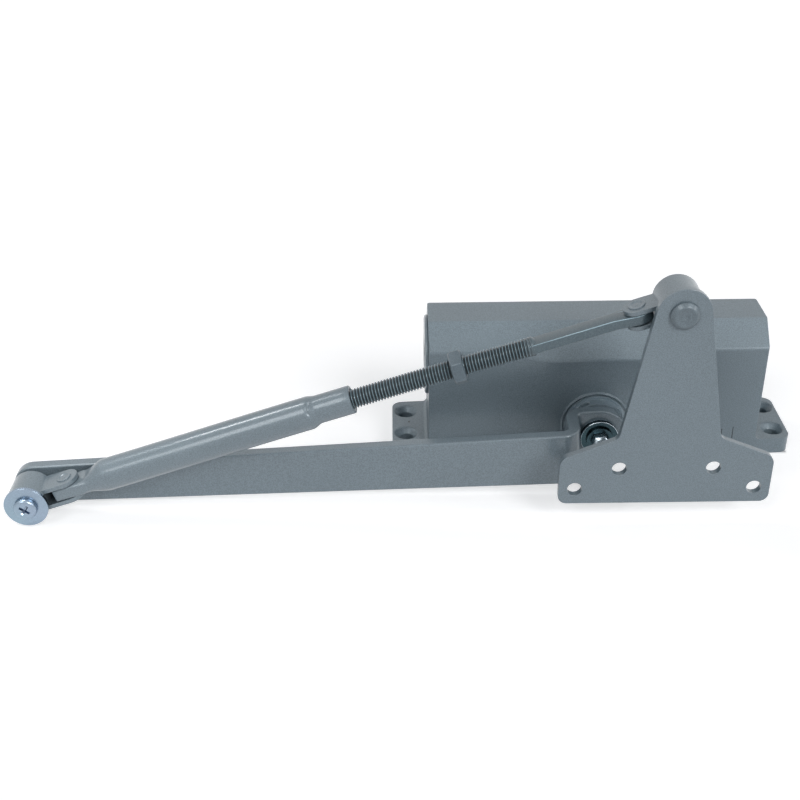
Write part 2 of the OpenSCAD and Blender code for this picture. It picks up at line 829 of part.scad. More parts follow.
// Flattened end of the tube, cut square, and its blend to the round tube.
module tube_solid() {
    half = ear_w / 2;
    translate([0, 0, -eye_drop - eye_t / 2]) linear_extrude(eye_t) polygon(concat(
        [[flat_start, half]],
        arc_points(eye_start + eye_corner_r, half - eye_corner_r, eye_corner_r, 90, 180, 4),
        arc_points(eye_start + eye_corner_r, eye_corner_r - half, eye_corner_r, 180, 270, 4),
        [[flat_start, -half]]));
    hull() {
        translate([flat_start - 0.01, -half, -eye_drop - eye_t / 2]) cube([0.01, 2 * half, eye_t]);
        translate([round_start, 0, 0]) rotate([0, 90, 0]) cylinder(h = 0.01, r = tube_r, $fn = 40);
    }
    x_rod(round_start, swage_start, 0, 0, tube_r);
    hull() {
        x_rod(swage_start, swage_start + 0.01, 0, 0, tube_r);
        x_rod(swage_end - 0.01, swage_end, 0, neck_rise, neck_r);
    }
    x_rod(swage_end, tube_end, 0, neck_rise, neck_r);
}

module forearm_tube() {
    color(paint) in_forearm() difference() {
        tube_solid();
        translate([ear_reach, 0, -big / 2]) cylinder(h = big, r = rivet_r + pin_gap);
        x_rod(round_start + 14, swage_start, 0, 0, tube_r - 1.6);
        x_rod(swage_start - 1, tube_end + 1, 0, neck_rise, rod_r + pin_gap);
    }
}

// The rod's pressed end in plan: a flat bar that widens into a round eye.
module rod_end_plan() {
    eye_x = forearm_l - fork_reach;
    bar_start = thread_end + 2;
    half = rod_flat_w / 2;
    widening = 10;
    wrap = 180 - atan2(half, widening) - acos(rod_eye_r / norm([widening, half]));
    polygon(concat(
        [[bar_start, half], [bar_start, -half], [eye_x - widening, -half]],
        arc_points(eye_x, 0, rod_eye_r, -wrap, wrap, 28),
        [[eye_x - widening, half]]));
}

module threaded_rod() {
    eye_x = forearm_l - fork_reach;
    color(dark_paint) in_forearm() translate([0, 0, neck_rise]) difference() {
        union() {
            x_rod(rod_start, thread_end + 3, 0, 0, rod_r);
            translate([thread_end + 3, 0, 0]) rotate([0, 90, 0]) cylinder(h = 6, r1 = rod_r, r2 = 1.7);
            translate([0, 0, -rod_flat_t / 2]) linear_extrude(rod_flat_t) rod_end_plan();
        }
        translate([eye_x, 0, -big / 2]) cylinder(h = big, r = rivet_r + pin_gap);
    }
}

module lock_nut() {
    corner_r = nut_flats / sqrt(3);
    color(dark_paint) in_forearm() translate([nut_at - nut_t / 2, 0, neck_rise]) rotate([0, 90, 0]) rotate(90)
        difference() {
            intersection() {
                cylinder(h = nut_t, r = corner_r, $fn = 6);
                cylinder(h = nut_t, r1 = corner_r - 0.7, r2 = corner_r + nut_t * 1.4);
                cylinder(h = nut_t, r1 = corner_r + nut_t * 1.4, r2 = corner_r - 0.7);
            }
            translate([0, 0, -1]) cylinder(h = nut_t + 2, r = rod_r + pin_gap);
        }
}

// Bracket

function unit(v) = v / norm(v);

// Points of the arc of radius r that rounds the corner b between the points a and c.
function rounded_corner(a, b, c, r, steps) = let (
    to_a = unit(a - b),
    to_c = unit(c - b),
    half = acos(to_a * to_c) / 2,
    centre = b + unit(to_a + to_c) * r / sin(half),
    from = b + to_a * r / tan(half) - centre,
    to = b + to_c * r / tan(half) - centre,
    a0 = atan2(from[1], from[0]),
    turn = (atan2(to[1], to[0]) - a0 + 540) % 360 - 180)
    arc_points(centre[0], centre[1], r, a0, a0 + turn, steps);

// The plate's outline about its pivot: round ear, leaning sides, small fillets and a wide foot.
module plate_plan() {
    waist = [20.3, -54.6];
    shoulder = [foot_half_w, -64];
    corner = [foot_half_w, -plate_drop];
    waist_r = 4;
    shoulder_r = 5;
    bottom_r = 3.6;
    lean = acos(ear_r / norm(waist)) + atan2(waist[1], waist[0]);
    ear_end = ear_r * [cos(lean), sin(lean)];
    side = concat(
        arc_points(0, 0, ear_r, 90, lean, 14),
        rounded_corner(ear_end, waist, shoulder, waist_r, 5),
        rounded_corner(waist, shoulder, corner, shoulder_r, 6),
        rounded_corner(shoulder, corner, [0, -plate_drop], bottom_r, 7));
    mirrored = [for (i = [len(side) - 1 : -1 : 0]) [-side[i][0], side[i][1]]];
    polygon(concat(side, mirrored));
}

module bracket_plate() {
    color(paint) along_y(plate_back_y, plate_front_y) translate([pivot_x, pivot_z]) difference() {
        plate_plan();
        circle(pivot_pin_r);
        for (s = [-1, 1]) {
            translate([s * upper_dx / 2, -upper_drop]) circle(plate_hole_r);
            translate([s * lower_dx / 2, -lower_drop]) circle(plate_hole_r);
        }
    }
}

module bracket_rivet() {
    tail_y = boss_back_y + turn_gap;
    color(paint) {
        y_rod(pivot_x, pivot_z, pivot_pin_r, tail_y, plate_front_y);
        y_rod(pivot_x, pivot_z, pivot_head_r, plate_front_y, plate_front_y - pivot_head_t + 1);
        translate([pivot_x, plate_front_y - pivot_head_t + 1, pivot_z]) rotate([90, 0, 0])
            cylinder(h = 1, r1 = pivot_head_r, r2 = pivot_head_r - 1.2);
        translate([pivot_x, tail_y, pivot_z]) rotate([-90, 0, 0]) cylinder(h = 1.2, r1 = 6.2, r2 = 5.2);
    }
}

housing();
end_plug_left();
end_plug_right();
plug_seals();
bearing_retainer_front();
bearing_retainer_rear();
pinion_bearing_front();
pinion_bearing_rear();
shaft_seals();
spindle_cap();
valve_bushes();
sweep_valve();
latch_valve();
pinion_shaft();
main_arm();
arm_washer();
arm_lock_washer();
arm_bolt();
elbow_stud();
elbow_washer();
elbow_screw();
rack_piston();
piston_seals();
check_valve();
return_spring();
elbow_knuckle();
elbow_rivet();
forearm_tube();
threaded_rod();
lock_nut();
bracket_knuckle();
rod_rivet();
bracket_plate();
bracket_rivet();
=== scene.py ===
"""Looks for a surface-mounted door closer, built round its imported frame."""
import json
import math

import bmesh
import bpy
from mathutils import Matrix, Vector


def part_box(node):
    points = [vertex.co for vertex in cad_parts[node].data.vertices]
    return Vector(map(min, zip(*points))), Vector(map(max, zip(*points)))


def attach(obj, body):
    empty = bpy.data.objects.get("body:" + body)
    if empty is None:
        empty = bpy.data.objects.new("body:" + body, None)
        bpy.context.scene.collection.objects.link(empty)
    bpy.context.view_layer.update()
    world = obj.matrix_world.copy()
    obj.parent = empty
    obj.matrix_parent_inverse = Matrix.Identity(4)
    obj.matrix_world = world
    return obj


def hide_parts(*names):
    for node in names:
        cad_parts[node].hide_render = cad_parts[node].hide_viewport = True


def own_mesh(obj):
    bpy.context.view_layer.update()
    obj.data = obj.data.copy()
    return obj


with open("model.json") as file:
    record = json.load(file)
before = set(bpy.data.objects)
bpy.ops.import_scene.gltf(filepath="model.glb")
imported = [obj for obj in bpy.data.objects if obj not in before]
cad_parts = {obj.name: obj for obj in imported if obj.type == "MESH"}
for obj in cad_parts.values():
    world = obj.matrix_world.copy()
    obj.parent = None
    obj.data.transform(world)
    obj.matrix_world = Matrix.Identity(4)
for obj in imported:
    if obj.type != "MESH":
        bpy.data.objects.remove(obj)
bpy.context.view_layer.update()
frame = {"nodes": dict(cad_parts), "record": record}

MM = 0.001
scene = bpy.context.scene

# Camera, from the fit to the photograph
CAMERA_AT = Vector((-0.086891, -0.477364, 0.298865))
CAMERA_PITCH = math.radians(30.3714)
CAMERA_YAW = math.radians(0.1369)
CAMERA_ROLL = math.radians(-0.6556)
FOCAL_PX = 1211.778
FRAME_PX = 800
SENSOR_MM = 36.0

# Places in the CAD, in millimetres
ELBOW = (-240.4, -59.75, 10.05)
PIVOT = (21.2, -59.75, 95.7)
FOREARM_ANGLE = math.atan2(PIVOT[2] - ELBOW[2], PIVOT[0] - ELBOW[0])
FOREARM_L = math.hypot(PIVOT[2] - ELBOW[2], PIVOT[0] - ELBOW[0])
SPINDLE_Z = 19.5
FOOT_HOLE_X = 83.0
FOOT_HOLE_Y = 9.5
FOOT_HOLE_R = 5.2
BODY_END_X = 74.0
SHOULDER_LOW_Z = 35.0
ROOF_LOW_Z = 45.0
RIM_Y = 19.5
BRACKET_FRONT_Y = -70.7
SCREW_SEAT_Y = -68.2

# Forearm tube, in millimetres: x runs along it from the elbow's axis, and BORE_END is its bore's inner end
TUBE_R = 6.8
NECK_R = 5.8
NECK_RISE = 0.4
TUBE_SAG = 0.5
TUBE_START = 11.8
TUBE_FLAT_END = 24.0
TUBE_ROUND_X = 40.0
SWAGE_X = 124.0
SWAGE_L = 4.5
TUBE_END = 142.8
BORE_R = 4.1
BORE_END = 78.0
EYE_X = 17.0
EYE_W = 5.75
EYE_T = 2.7
EYE_DROP = 0.85
PIN_R = 2.6

# Crease that the swaging leaves: its place, its angle from the front and how far it spreads, leans and sinks
FOLD_X = 124.4
FOLD_AT = 40.0
FOLD_SPREAD = 26.0
FOLD_LEAN = 0.05
FOLD_LENGTH = 0.45
FOLD_DEPTH = 0.45

# Screwed rod: its thread, the flat bar that follows it, and the eye at its end
ROD_R = 4.0
THREAD_PITCH = 1.25
THREAD_DEEP = 0.72
THREAD_START = 100.0
THREAD_END = 217.5
BEND_X = 188.0
BEND_L = 30.0
BEND_DROP = 0.35
BAR_HALF = 3.5
BAR_LOW = -2.3
BAR_HIGH = 1.7
BAR_EDGE = 0.4
ROD_EYE_X = FOREARM_L - 15.6
ROD_EYE_R = 5.4
EYE_NECK = 10.0

# Half the width over each pair of ears: half the gap and one ear
ELBOW_EARS_HALF = 5.7 / 2 + 1.85
BRACKET_EARS_HALF = 4.8 / 2 + 1.8

# Lock nut: its place, width, half thickness, turn in degrees, and a bore that clears the bent rod
NUT_X = 187.0
NUT_FLATS = 12.5
NUT_HALF = 2.5
NUT_TURN = -9.0
NUT_BORE_R = 4.38

# Heads of the spindle's bolt and the elbow's screw: thickness, corner radius, and turn in degrees
BOLT_T = 4.0
BOLT_R = 4.1
BOLT_TURN = 12.0
SCREW_TOP = 2.4
CROSS_TURN = -35.0


def put_camera():
    """The camera at the photograph's place, with its focal length and roll."""
    forward = Vector((
        math.sin(CAMERA_YAW) * math.cos(CAMERA_PITCH),
        math.cos(CAMERA_YAW) * math.cos(CAMERA_PITCH),
        -math.sin(CAMERA_PITCH)))
    level = Vector((math.cos(CAMERA_YAW), -math.sin(CAMERA_YAW), 0.0))
    above = level.cross(forward)
    right = math.cos(CAMERA_ROLL) * level + math.sin(CAMERA_ROLL) * above
    up = math.cos(CAMERA_ROLL) * above - math.sin(CAMERA_ROLL) * level
    data = bpy.data.cameras.new("camera")
    data.sensor_width = SENSOR_MM
    data.sensor_fit = "HORIZONTAL"
    data.lens = FOCAL_PX / FRAME_PX * SENSOR_MM
    data.clip_start = 0.02
    data.clip_end = 20.0
    camera = bpy.data.objects.new("camera", data)
    camera.matrix_world = Matrix((
        (right.x, up.x, -forward.x, CAMERA_AT.x),
        (right.y, up.y, -forward.y, CAMERA_AT.y),
        (right.z, up.z, -forward.z, CAMERA_AT.z),
        (0.0, 0.0, 0.0, 1.0)))
    scene.collection.objects.link(camera)
    scene.camera = camera


# Light: how bright the sky is low down and overhead, the floor's colour and its lift to white, and the
# half sides of the place under the body, in millimetres, that gets no lift
SKY_LOW = (0.36, 0.37, 0.38)
SKY_HIGH = (0.11, 0.12, 0.13)
FLOOR = (0.70, 0.70, 0.71, 1.0)
FLOOR_LIFT = 0.56
UNDER_X = 88.0
UNDER_Y = 18.0

# Colours of the paint and the zinc, and how bright the thread's crests, plain parts and roots are painted:
# a painted highlight on the crests and painted shade in the roots
PAINT = (0.170, 0.215, 0.245)
ROD_PAINT = (0.115, 0.16, 0.185)
ZINC = (0.29, 0.36, 0.43)
THREAD_LIGHT_AND_SHADE = {"crest": 2.4, "plain": 0.8, "root": 0.2}
PLAIN = 0.25

# Marks on the body, in millimetres: left side and top of each scratch, and the dent by the left foot's holes
SCRATCHES = ((57.25, 13.3), (62.25, 14.3))
SCRATCH_W = 0.3
SCRATCH_FOOT = 8.6
DENT_X = (-82.0, -81.4)
DENT_Y = (-0.6, 0.4)
FOOT_TOP = (7.0, 8.0)

# Painted shade in the hollow between the elbow's ears: where it lies along the forearm
FORK_HOLLOW = (5.0, 13.0)


# Materials

class Nodes:
    """A material's node tree, with short calls to add and join nodes."""

    def __init__(self, name):
        self.material = bpy.data.materials.new(name)
        self.material.use_nodes = True
        self.tree = self.material.node_tree
        self.shader = self.tree.nodes["Principled BSDF"]
        self.place = self.add("ShaderNodeTexCoord").outputs["Object"]

    def add(self, kind, **settings):
        """A new node with its settings."""
        node = self.tree.nodes.new(kind)
        for key, value in settings.items():
            setattr(node, key, value)
        return node

    def link(self, source, target):
        """Joins an output to an input."""
        self.tree.links.new(source, target)

    def noise(self, scale, detail=2.0, stretch=(1.0, 1.0, 1.0)):
        """Cloudy noise, about 0.3 to 0.7; stretch scales each axis."""
        mapping = self.add("ShaderNodeMapping")
        mapping.inputs["Scale"].default_value = stretch
        self.link(self.place, mapping.inputs["Vector"])
        node = self.add("ShaderNodeTexNoise")
        node.inputs["Scale"].default_value = scale
        node.inputs["Detail"].default_value = detail
        self.link(mapping.outputs["Vector"], node.inputs["Vector"])
        return node.outputs["Fac"]

    def ramp(self, factor, low, high, at=(0.35, 0.65)):
        """Colour from low to high as the factor goes from at[0] to at[1]."""
        node = self.add("ShaderNodeValToRGB")
        ends = node.color_ramp.elements
        ends[0].position, ends[1].position = at
        ends[0].color = (*low, 1.0)
        ends[1].color = (*high, 1.0)
        self.link(factor, node.inputs["Fac"])
        return node.outputs["Color"]

    def mix(self, factor, a, b, blend="MIX"):
        """Mix of two colours; each argument is a value or a socket."""
        node = self.add("ShaderNodeMix", data_type="RGBA", blend_type=blend)
        for socket, value in ((node.inputs["Factor"], factor), (node.inputs[6], a), (node.inputs[7], b)):
            if isinstance(value, (int, float)):
                socket.default_value = value
            elif isinstance(value, tuple):
                socket.default_value = (*value, 1.0)
            else:
                self.link(value, socket)
        return node.outputs[2]

    def span(self, factor, low, high):
        """Number from low to high as a noise goes over its usual range."""
        node = self.add("ShaderNodeMapRange")
        node.inputs["From Min"].default_value = 0.3
        node.inputs["From Max"].default_value = 0.7
        node.inputs["To Min"].default_value = low
        node.inputs["To Max"].default_value = high
        self.link(factor, node.inputs["Value"])
        return node.outputs["Result"]

    def math(self, operation, a, b=0.0):
        """The result of a sum; each argument is a number or a socket."""
        node = self.add("ShaderNodeMath", operation=operation)
        for socket, value in zip(node.inputs, (a, b)):
            if isinstance(value, bpy.types.NodeSocket):
                self.link(value, socket)
            else:
                socket.default_value = value
        return node.outputs[0]

    def axes(self):
        """The point's x, y and z, in metres."""
        node = self.add("ShaderNodeSeparateXYZ")
        self.link(self.place, node.inputs[0])
        return node.outputs

    def step(self, value, start, end):
        """0 before start and 1 past end, in millimetres, with a smooth turn between them."""
        node = self.add("ShaderNodeMapRange", interpolation_type="SMOOTHSTEP")
        node.inputs["From Min"].default_value = start * MM
        node.inputs["From Max"].default_value = end * MM
        self.link(value, node.inputs["Value"])
        return node.outputs["Result"]

    def window(self, value, low, high, soft):
        """1 between low and high, in millimetres, and 0 outside them."""
        return self.math("MULTIPLY", self.step(value, low - soft, low), self.step(value, high + soft, high))

    def bump(self, height, distance, strength):
        """Gives the surface a fine relief, distance high in metres."""
        node = self.add("ShaderNodeBump")
        node.inputs["Distance"].default_value = distance
        node.inputs["Strength"].default_value = strength
        self.link(height, node.inputs["Height"])
        self.link(node.outputs["Normal"], self.shader.inputs["Normal"])

    def set(self, **values):
        """Sets or links the shader's inputs, named with _ for a space."""
        for key, value in values.items():
            socket = self.shader.inputs[key.replace("_", " ")]
            if isinstance(value, bpy.types.NodeSocket):
                self.link(value, socket)
            else:
                socket.default_value = value


def shade(colour, factor):
    """The colour made lighter or darker by a factor."""
    return tuple(min(1.0, c * factor) for c in colour)


def silver_paint(name, colour, rough=0.4, metal=0.18, coat=0.25, peel=0.00002, marks=None, thread=False):
    """Silver paint: fine metal flakes, a cloudy tint and a slight orange peel under a thin clear coat.

    marks, if given, makes from the nodes a 0 to 1 mask that is painted dark and pressed in: small dents and
    scratches, or painted shade. With thread, the mesh's groove attribute paints a highlight on a thread's
    crests and shade in its roots.
    """
    n = Nodes(name)
    flakes = n.noise(2600.0, 1.0)
    cloud = n.noise(22.0, 3.0)
    tint = n.ramp(cloud, shade(colour, 0.97), shade(colour, 1.03), (0.3, 0.7))
    speck = n.ramp(flakes, (0.86, 0.86, 0.87), (1.14, 1.14, 1.13), (0.38, 0.62))
    base = n.mix(1.0, tint, speck, "MULTIPLY")
    height = n.noise(700.0, 2.0)
    # Painted highlight on a thread's crests and painted shade in its roots
    if thread:
        groove = n.add("ShaderNodeAttribute", attribute_name="groove").outputs["Fac"]
        crest, plain, root = ((THREAD_LIGHT_AND_SHADE[part],) * 3 for part in ("crest", "plain", "root"))
        depth = n.ramp(groove, crest, root, (0.0, 1.0))
        middle = depth.node.color_ramp.elements.new(PLAIN)
        middle.color = (*plain, 1.0)
        base = n.mix(1.0, base, depth, "MULTIPLY")
    if marks is not None:
        # The mask: dark dents and scratches, or painted shade
        mask = marks(n)
        base = n.mix(mask, base, shade(colour, 0.35))
        height = n.math("SUBTRACT", height, n.math("MULTIPLY", mask, 6.0))
    n.set(Base_Color=base, Metallic=metal, Roughness=n.span(cloud, rough - 0.03, rough + 0.03))
    n.set(Specular_IOR_Level=0.35, Coat_Weight=coat, Coat_Roughness=0.12)
    n.bump(height, peel, 0.5)
    return n.material


def housing_marks(n):
    """Two short upright scratches low on the front face, right of the spindle, and the left foot's dent."""
    x, y, z = n.axes()[0:3]
    front = n.step(y, -17.5, -18.5)
    first, second = (
        n.math("MULTIPLY", n.window(x, left, left + SCRATCH_W, 0.15), n.window(z, SCRATCH_FOOT, top, 0.3))
        for left, top in SCRATCHES)
    scratches = n.math("MULTIPLY", front, n.math("MAXIMUM", first, second))
    dent = n.math("MULTIPLY", n.window(x, *DENT_X, 0.3), n.window(y, *DENT_Y, 0.3))
    on_foot = n.window(z, *FOOT_TOP, 0.3)
    return n.math("MAXIMUM", scratches, n.math("MULTIPLY", dent, on_foot))


def fork_shadow(n):
    """Painted shade in the hollow of the elbow's fork, between its ears and next to the barrel."""
    x, _, z = n.axes()[0:3]
    cos, sin = math.cos(FOREARM_ANGLE), math.sin(FOREARM_ANGLE)
    east = n.math("SUBTRACT", x, ELBOW[0] * MM)
    up = n.math("SUBTRACT", z, ELBOW[2] * MM)
    along = n.math("ADD", n.math("MULTIPLY", east, cos), n.math("MULTIPLY", up, sin))
    across = n.math("SUBTRACT", n.math("MULTIPLY", up, cos), n.math("MULTIPLY", east, sin))
    between_ears = n.window(across, -EYE_T - EYE_DROP, EYE_T - EYE_DROP, 0.3)
    return n.math("MULTIPLY", n.window(along, *FORK_HOLLOW, 1.5), between_ears)


def zinc_plate(name, colour):
    """Bright blue zinc: thin cloudy colour, rolling marks and fine scratches."""
    n = Nodes(name)
    cloud = n.noise(160.0, 3.0)
    tint = n.ramp(cloud, shade(colour, 0.93), colour, (0.3, 0.7))
    blue = n.ramp(n.noise(60.0, 2.0), (0.94, 1.0, 1.0), (1.0, 0.99, 1.03), (0.35, 0.65))
    marks = n.noise(900.0, 3.0, (1.0, 1.0, 9.0))
    n.set(Base_Color=n.mix(1.0, tint, blue, "MULTIPLY"), Metallic=1.0, Roughness=n.span(marks, 0.2, 0.32))
    n.bump(marks, 0.000006, 0.4)
    return n.material


def plain_metal(name, colour, rough, grain):
    """Machined metal with a fine turned or ground grain and slight stains."""
    n = Nodes(name)
    stain = n.noise(120.0, 4.0)
    marks = n.noise(1500.0, 2.0, grain)
    n.set(Base_Color=n.ramp(stain, shade(colour, 0.85), colour), Metallic=1.0,
          Roughness=n.span(marks, rough - 0.06, rough + 0.08))
    n.bump(marks, 0.000008, 0.5)
    return n.material


def dull(name, colour, rough, scale, height):
    """Rubber, moulded plastic or a flat painted shade: a fine matt texture with faint colour changes."""
    n = Nodes(name)
    fine = n.noise(scale, 2.0)
    n.set(Base_Color=n.ramp(n.noise(90.0, 3.0), shade(colour, 0.92), shade(colour, 1.06)),
          Roughness=n.span(fine, rough - 0.05, rough + 0.05))
    n.bump(fine, height, 0.6)
    return n.material


LOOKS = {
    "cast_body": silver_paint("silver_paint_cast", PAINT, peel=0.00004, marks=housing_marks),
    "painted_steel": silver_paint("silver_paint_steel", PAINT, rough=0.36, coat=0.6),
    "dark_rod": silver_paint("thin_paint_rod", ROD_PAINT, rough=0.36, metal=0.25, coat=0.35, thread=True),
    "zinc": zinc_plate("bright_zinc", ZINC),
    "steel": plain_metal("ground_steel", (0.42, 0.42, 0.42), 0.3, (8.0, 1.0, 1.0)),
    "spring_steel": plain_metal("oiled_spring_steel", (0.13, 0.13, 0.135), 0.35, (1.0, 3.0, 3.0)),
    "bronze": plain_metal("bearing_bronze", (0.42, 0.27, 0.12), 0.38, (1.0, 8.0, 1.0)),
    "rubber": dull("seal_rubber", (0.022, 0.022, 0.024), 0.6, 900.0, 0.00002),
    "cap_plastic": dull("cap_plastic", (0.2, 0.225, 0.25), 0.5, 1400.0, 0.00002),
}

# Looks of single pieces that differ from their slot's look; all but the nut's paint stand in for light or
# shade
# Painted shade: dark blue for the elbow screw's cross recess
RECESS_SHADE = dull("shaded_recess", (0.035, 0.075, 0.16), 0.5, 1800.0, 0.000004)
# A near-black copy of the zinc: painted dark reflection on the spindle's washers
ZINC_PAINTED_DARK = zinc_plate("zinc_painted_dark", (0.045, 0.075, 0.085))
# A lighter copy of the paint: painted light on the front bearing retainer
RING_PAINT_LIT = silver_paint("silver_paint_ring_lit", shade(PAINT, 1.35), rough=0.34, coat=0.6)
# A darker copy of the paint: painted shade on the bracket's pivot rivet
RIVET_PAINT_SHADED = silver_paint("silver_paint_rivet_shaded", shade(PAINT, 0.82), rough=0.38)
NUT_PAINT = silver_paint("thin_paint_nut", (0.10, 0.135, 0.16), rough=0.34, metal=0.2, coat=0.35)
# Painted shade in the elbow fork's hollow
FORK_PAINT_SHADED = silver_paint("silver_paint_fork_shaded", PAINT, rough=0.36, coat=0.6, marks=fork_shadow)
# A lighter copy of the zinc: painted light on the spindle bolt's head and a painted highlight on washer rims
ZINC_PAINTED_BRIGHT = zinc_plate("zinc_painted_bright", (0.60, 0.68, 0.72))


def dress(obj, slot):
    """Gives the object its slot's look and no other."""
    obj.data.materials.clear()
    obj.data.materials.append(LOOKS[slot])


SLOT_OF = {row["node"]: row["material_slot"] for row in frame["record"]["subparts"]}
BODY_OF = {node: body for body, nodes in frame["record"]["behaviour"]["bodies"].items() for node in nodes}

for node_name, node_object in frame["nodes"].items():
    for material_slot in node_object.material_slots:
        material_slot.material = LOOKS[SLOT_OF[node_name]]


# Stage

def soft_light(name, at, towards, size, power, cone):
    """A square area lamp whose beam is cone degrees wide."""
    data = bpy.data.lights.new(name, "AREA")
    data.spread = math.radians(cone)
    data.shape = "SQUARE"
    data.size = size
    data.energy = power
    lamp = bpy.data.objects.new(name, data)
    lamp.location = at
    lamp.rotation_mode = "QUATERNION"
    lamp.rotation_quaternion = (Vector(towards) - Vector(at)).to_track_quat("-Z", "Y")
    scene.collection.objects.link(lamp)


def soft_sun(name, towards, strength, spread):
    """A wide, even lamp far away; towards points from the lamp to the object."""
    data = bpy.data.lights.new(name, "SUN")
    data.energy = strength
    data.angle = math.radians(spread)
    lamp = bpy.data.objects.new(name, data)
    lamp.rotation_mode = "QUATERNION"
    lamp.rotation_quaternion = Vector(towards).to_track_quat("-Z", "Y")
    scene.collection.objects.link(lamp)


def seen_directly(tree):
    """1 for a ray from the camera or from a reflection or refraction, and 0 for the light on the object."""
    path = tree.nodes.new("ShaderNodeLightPath")
    total = path.outputs["Is Camera Ray"]
    for kind in ("Is Glossy Ray", "Is Transmission Ray"):
        either = tree.nodes.new("ShaderNodeMath")
        either.operation = "MAXIMUM"
        tree.links.new(total, either.inputs[0])
        tree.links.new(path.outputs[kind], either.inputs[1])
        total = either.outputs[0]
    return total


def set_world():
    """Even studio light: soft grey for lighting, plain white where the camera or a reflection sees it."""
    world = bpy.data.worlds.new("studio")
    scene.world = world
    world.use_nodes = True
    tree = world.node_tree
    ground = tree.nodes["Background"]
    way = tree.nodes.new("ShaderNodeTexCoord")
    parts = tree.nodes.new("ShaderNodeSeparateXYZ")
    tree.links.new(way.outputs["Generated"], parts.inputs[0])
    rise = tree.nodes.new("ShaderNodeValToRGB")
    rise.color_ramp.elements[0].position = 0.0
    rise.color_ramp.elements[0].color = (*SKY_LOW, 1.0)
    rise.color_ramp.elements[1].position = 0.8
    rise.color_ramp.elements[1].color = (*SKY_HIGH, 1.0)
    tree.links.new(parts.outputs["Z"], rise.inputs["Fac"])
    mix = tree.nodes.new("ShaderNodeMix")
    mix.data_type = "RGBA"
    mix.inputs[7].default_value = (1.0, 1.0, 1.0, 1.0)
    tree.links.new(seen_directly(tree), mix.inputs["Factor"])
    tree.links.new(rise.outputs["Color"], mix.inputs[6])
    tree.links.new(mix.outputs[2], ground.inputs["Color"])
    ground.inputs["Strength"].default_value = 1.0


def make_floor():
    """A plain pale floor that keeps the object's shadow and clears to white where nothing shades it."""
    mesh = bpy.data.meshes.new("floor")
    half = 3.0
    height = -0.0001
    mesh.from_pydata(
        [(-half, -half, height), (half, -half, height), (half, half, height), (-half, half, height)],
        [], [(0, 1, 2, 3)])
    floor = bpy.data.objects.new("floor", mesh)
    scene.collection.objects.link(floor)
    n = Nodes("pale_floor")
    n.set(Base_Color=FLOOR, Roughness=0.9, Specular_IOR_Level=0.2)
    x, y = n.axes()[0:2]
    under_body = n.math(
        "MULTIPLY", n.window(x, -UNDER_X, UNDER_X, 1.0), n.window(y, -UNDER_Y, UNDER_Y, 1.0))
    lift = n.math("MULTIPLY", seen_directly(n.tree), n.math("SUBTRACT", 1.0, under_body))
    n.set(Emission_Color=(1.0, 1.0, 1.0, 1.0), Emission_Strength=n.math("MULTIPLY", lift, FLOOR_LIFT))
    floor.data.materials.append(n.material)


# Refined copies of CAD solids: points nearer than WELD are one, and shorter edges than SLIVER are dropped
WELD = 0.003 * MM
SLIVER = 0.004 * MM


def link_object(name, mesh):
    """Puts a mesh into the scene as a new object."""
    obj = bpy.data.objects.new(name, mesh)
    scene.collection.objects.link(obj)
    return obj


def stand_for(obj, node):
    """obj takes the CAD node's body, place and finish."""
    dress(obj, SLOT_OF[node])
    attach(obj, BODY_OF[node])
    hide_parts(node)
    return obj


def smooth_all(mesh):
    """Shades every face smooth."""
    for face in mesh.polygons:
        face.use_smooth = True


def rejoin(bm, merge):
    """Welds points nearer than merge, in metres, and joins the triangles of each flat face."""
    bmesh.ops.remove_doubles(bm, verts=bm.verts, dist=merge)
    bmesh.ops.dissolve_limit(
        bm, angle_limit=math.radians(0.6), use_dissolve_boundaries=False, verts=bm.verts, edges=bm.edges)


def refined(node, name, width=None, rounds=(), look=None, merge=None):
    """A copy of the CAD solid with its flat faces rejoined and its edges rounded.

    rounds is a list of (pick, width, segments): pick tells from an edge whether it gets that rounding.
    Without it, all sharp edges get width. merge welds points that are farther apart than WELD, and look
    takes the place of the slot's finish. Widths and merge are in millimetres.
    """
    bm = bmesh.new()
    bm.from_mesh(frame["nodes"][node].data)
    rejoin(bm, WELD)
    if merge is not None:
        rejoin(bm, merge * MM)
    for pick, radius, steps in rounds:
        bm.normal_update()
        chosen = [edge for edge in bm.edges if is_sharp(edge) and pick(edge)]
        bmesh.ops.bevel(bm, geom=chosen, offset=radius * MM, segments=steps, profile=0.5,
                        clamp_overlap=pick is not shoulder_edge, affect="EDGES")
    bmesh.ops.remove_doubles(bm, verts=bm.verts, dist=SLIVER)
    bmesh.ops.dissolve_degenerate(bm, edges=bm.edges, dist=SLIVER)
    bmesh.ops.holes_fill(bm, edges=[edge for edge in bm.edges if edge.is_boundary], sides=0)
    mesh = bpy.data.meshes.new(name)
    bm.to_mesh(mesh)
    bm.free()
    smooth_all(mesh)
    obj = link_object(name, mesh)
    if rounds:
        mesh.set_sharp_from_angle(angle=math.radians(35))
    else:
        bevel = obj.modifiers.new("edges", "BEVEL")
        bevel.width = width * MM
        bevel.segments = 3
        bevel.limit_method = "ANGLE"
        bevel.angle_limit = math.radians(28)
        bevel.miter_outer = "MITER_ARC"
    normals = obj.modifiers.new("normals", "WEIGHTED_NORMAL")
    normals.weight = 100
    normals.keep_sharp = True
    stand_for(obj, node)
    if look is not None:
        obj.data.materials[0] = look
    return obj


def is_sharp(edge):
    """An edge between two faces that meet at more than 20 degrees."""
    return len(edge.link_faces) == 2 and edge.calc_face_angle(0.0) > math.radians(20)


def spread(edge):
    """Lowest and highest corner of an edge, in millimetres."""
    a, b = (vert.co / MM for vert in edge.verts)
    return Vector(map(min, a, b)), Vector(map(max, a, b))


